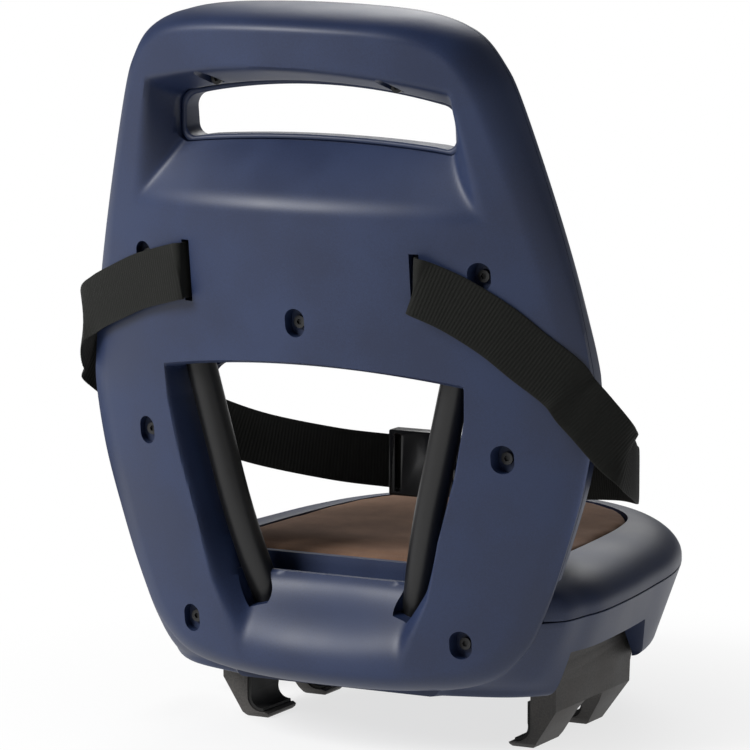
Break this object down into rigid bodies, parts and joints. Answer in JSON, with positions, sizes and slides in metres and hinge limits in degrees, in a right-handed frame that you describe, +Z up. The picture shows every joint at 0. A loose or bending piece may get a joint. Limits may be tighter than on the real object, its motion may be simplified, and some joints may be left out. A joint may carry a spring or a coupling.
{
  "type": "child_bike_seat",
  "caption": "Rear child bike seat with a moulded blue two-shell backrest, a sloping seat pan with a brown inlaid cushion, a bent black tube, a black lap belt and a screw clamp for the carrier.",
  "frame": {"origin": "on the ground midway between the four claws, on the plane of symmetry", "axes": "+X to the rider's right as seen from behind, +Y forwards, +Z up"},
  "size_m": [0.3867, 0.3982, 0.4725],
  "materials": {
    "navy_plastic": "moulded blue plastic with a fine matt grain",
    "brown_cushion": "soft brown seat pad with a suede-like skin",
    "black_steel": "steel tube with satin black paint",
    "dark_grey_plastic": "coarse-grained glass-filled nylon",
    "black_plastic": "smooth black plastic",
    "black_webbing": "woven black webbing",
    "black_rubber": "rubber jaw lining",
    "bright_steel": "zinc-plated steel"
  },
  "bodies": {
    "seat": {"rear_shell": "navy_plastic", "front_shell": "navy_plastic", "seat_pan": "navy_plastic", "seat_cushion": "brown_cushion", "frame_tube": "black_steel", "tube_saddles": "dark_grey_plastic", "saddle_screws": "bright_steel", "shell_screws": "bright_steel", "pan_screws": "bright_steel", "guide_rods": "bright_steel", "spindle_bushes": "black_plastic", "belt_left": "black_webbing", "belt_right": "black_webbing", "buckle_socket": "black_plastic", "buckle_plug": "black_plastic", "belt_pins": "bright_steel"},
    "knob_and_spindle": {"knob": "dark_grey_plastic", "knob_pin": "bright_steel", "spindle": "bright_steel", "retaining_clips": "bright_steel"},
    "left_bracket": {"bracket_left": "dark_grey_plastic", "jaw_pads_left": "black_rubber", "spindle_nut_left": "bright_steel"},
    "right_bracket": {"bracket_right": "dark_grey_plastic", "jaw_pads_right": "black_rubber", "spindle_nut_right": "bright_steel"}
  },
  "joints": [
    {"name": "left_clamp_slide", "type": "slide", "parent": "seat", "child": "left_bracket", "axis": [1, 0, 0], "range_m": [0, 0.012]},
    {"name": "right_clamp_slide", "type": "slide", "parent": "seat", "child": "right_bracket", "axis": [-1, 0, 0], "range_m": [0, 0.012]},
    {"name": "knob_spin", "type": "hinge", "parent": "seat", "child": "knob_and_spindle", "pos_m": [0, 0, 0.052], "axis": [1, 0, 0], "range_deg": [0, 1440]}
  ],
  "couplings": [
    {"joint": "right_clamp_slide", "follows": "left_clamp_slide", "ratio": 1},
    {"joint": "knob_spin", "follows": "left_clamp_slide", "rad_per_m": 2094.4}
  ]
}
